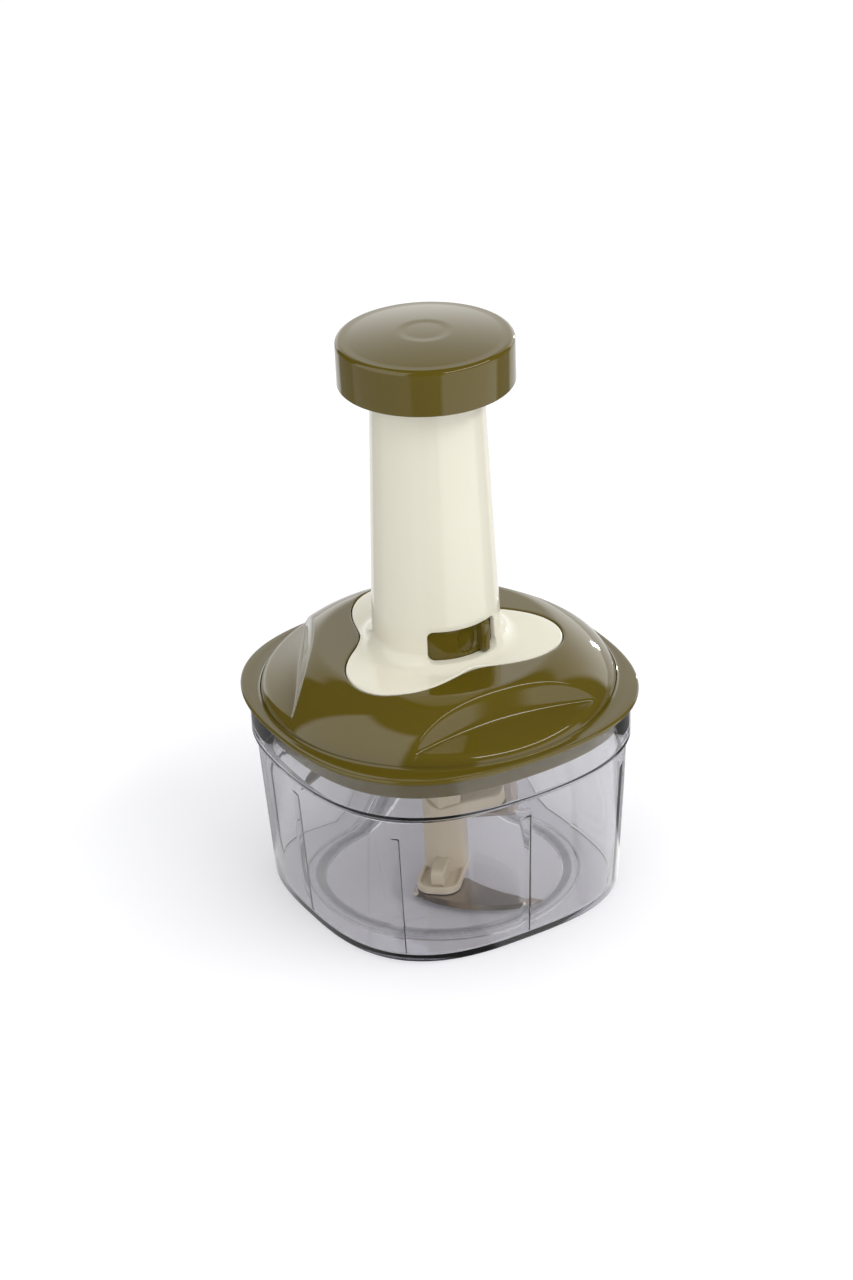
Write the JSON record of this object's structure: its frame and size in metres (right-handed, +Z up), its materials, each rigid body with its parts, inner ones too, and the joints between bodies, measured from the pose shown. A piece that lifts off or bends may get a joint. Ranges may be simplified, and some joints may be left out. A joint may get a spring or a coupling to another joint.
{
  "type": "plunger food chopper",
  "caption": "Hand-pushed food chopper: a clear rounded-square bowl, an olive domed lid with a cream plunger handle, a turning lock and a rotor of curved blades.",
  "frame": {"origin": "on the table under the middle of the bowl, where the drive axis meets the plane of the foot ring", "axes": "+Z up along the plunger and the drive axis; X and Y square to the bowl's flat sides, with the lock window on the -Y side"},
  "size_m": [0.1382, 0.1382, 0.2231],
  "materials": {
    "clear_plastic": "clear, slightly smoky, polished",
    "olive_plastic": "glossy moulded plastic",
    "cream_plastic": "satin gloss moulded plastic",
    "beige_plastic": "satin moulded plastic",
    "white_plastic": "natural low-friction plastic",
    "black_plastic": "moulded plastic",
    "blade_steel": "fine brushed stainless steel",
    "zinc_steel": "zinc-plated steel"
  },
  "bodies": {
    "bowl": {"bowl": "clear_plastic", "pivot_pin": "blade_steel"},
    "blade_rotor": {"blade_stem": "beige_plastic", "pivot_bush": "white_plastic", "lower_blade": "blade_steel", "middle_blade": "blade_steel", "upper_blade": "blade_steel"},
    "lid": {"lid_cover": "olive_plastic", "handle_housing": "cream_plastic", "housing_screw_1": "zinc_steel", "housing_screw_2": "zinc_steel", "housing_screw_3": "zinc_steel", "bearing_plate": "white_plastic", "thrust_washer": "blade_steel", "drive_cover": "olive_plastic", "cover_screw_1": "zinc_steel", "cover_screw_2": "zinc_steel", "cover_screw_3": "zinc_steel", "lower_bush": "white_plastic", "guide_bush": "white_plastic", "return_spring": "blade_steel"},
    "lock": {"lock_ring": "olive_plastic"},
    "plunger": {"knob_cap": "olive_plastic", "knob_insert": "olive_plastic", "plunger_tube": "cream_plastic", "drive_nut": "white_plastic", "knob_screw": "zinc_steel"},
    "spindle": {"helical_spindle": "blade_steel", "spindle_pin": "blade_steel", "ratchet_driver": "black_plastic"},
    "socket": {"drive_socket": "black_plastic"}
  },
  "joints": [
    {"name": "lid_lift", "type": "slide", "parent": "bowl", "child": "lid", "axis": [0, 0, 1], "range_m": [0, 0.06]},
    {"name": "plunger_slide", "type": "slide", "parent": "lid", "child": "plunger", "axis": [0, 0, 1], "range_m": [0, 0.075], "deforming": ["return_spring"]},
    {"name": "spindle_spin", "type": "hinge", "parent": "lid", "child": "spindle", "pos_m": [0, 0, 0.09], "axis": [0, 0, 1], "range_deg": [0, 540]},
    {"name": "socket_spin", "type": "hinge", "parent": "lid", "child": "socket", "pos_m": [0, 0, 0.08], "axis": [0, 0, 1], "range_deg": [0, 540]},
    {"name": "rotor_spin", "type": "hinge", "parent": "bowl", "child": "blade_rotor", "pos_m": [0, 0, 0.02], "axis": [0, 0, 1], "range_deg": [0, 540]},
    {"name": "lock_turn", "type": "hinge", "parent": "lid", "child": "lock", "pos_m": [0, 0, 0.1085], "axis": [0, 0, 1], "range_deg": [-40, 0]}
  ],
  "couplings": [
    {"joint": "spindle_spin", "follows": "plunger_slide", "rad_per_m": 125.66},
    {"joint": "socket_spin", "follows": "plunger_slide", "rad_per_m": 125.66},
    {"joint": "rotor_spin", "follows": "plunger_slide", "rad_per_m": 125.66}
  ]
}
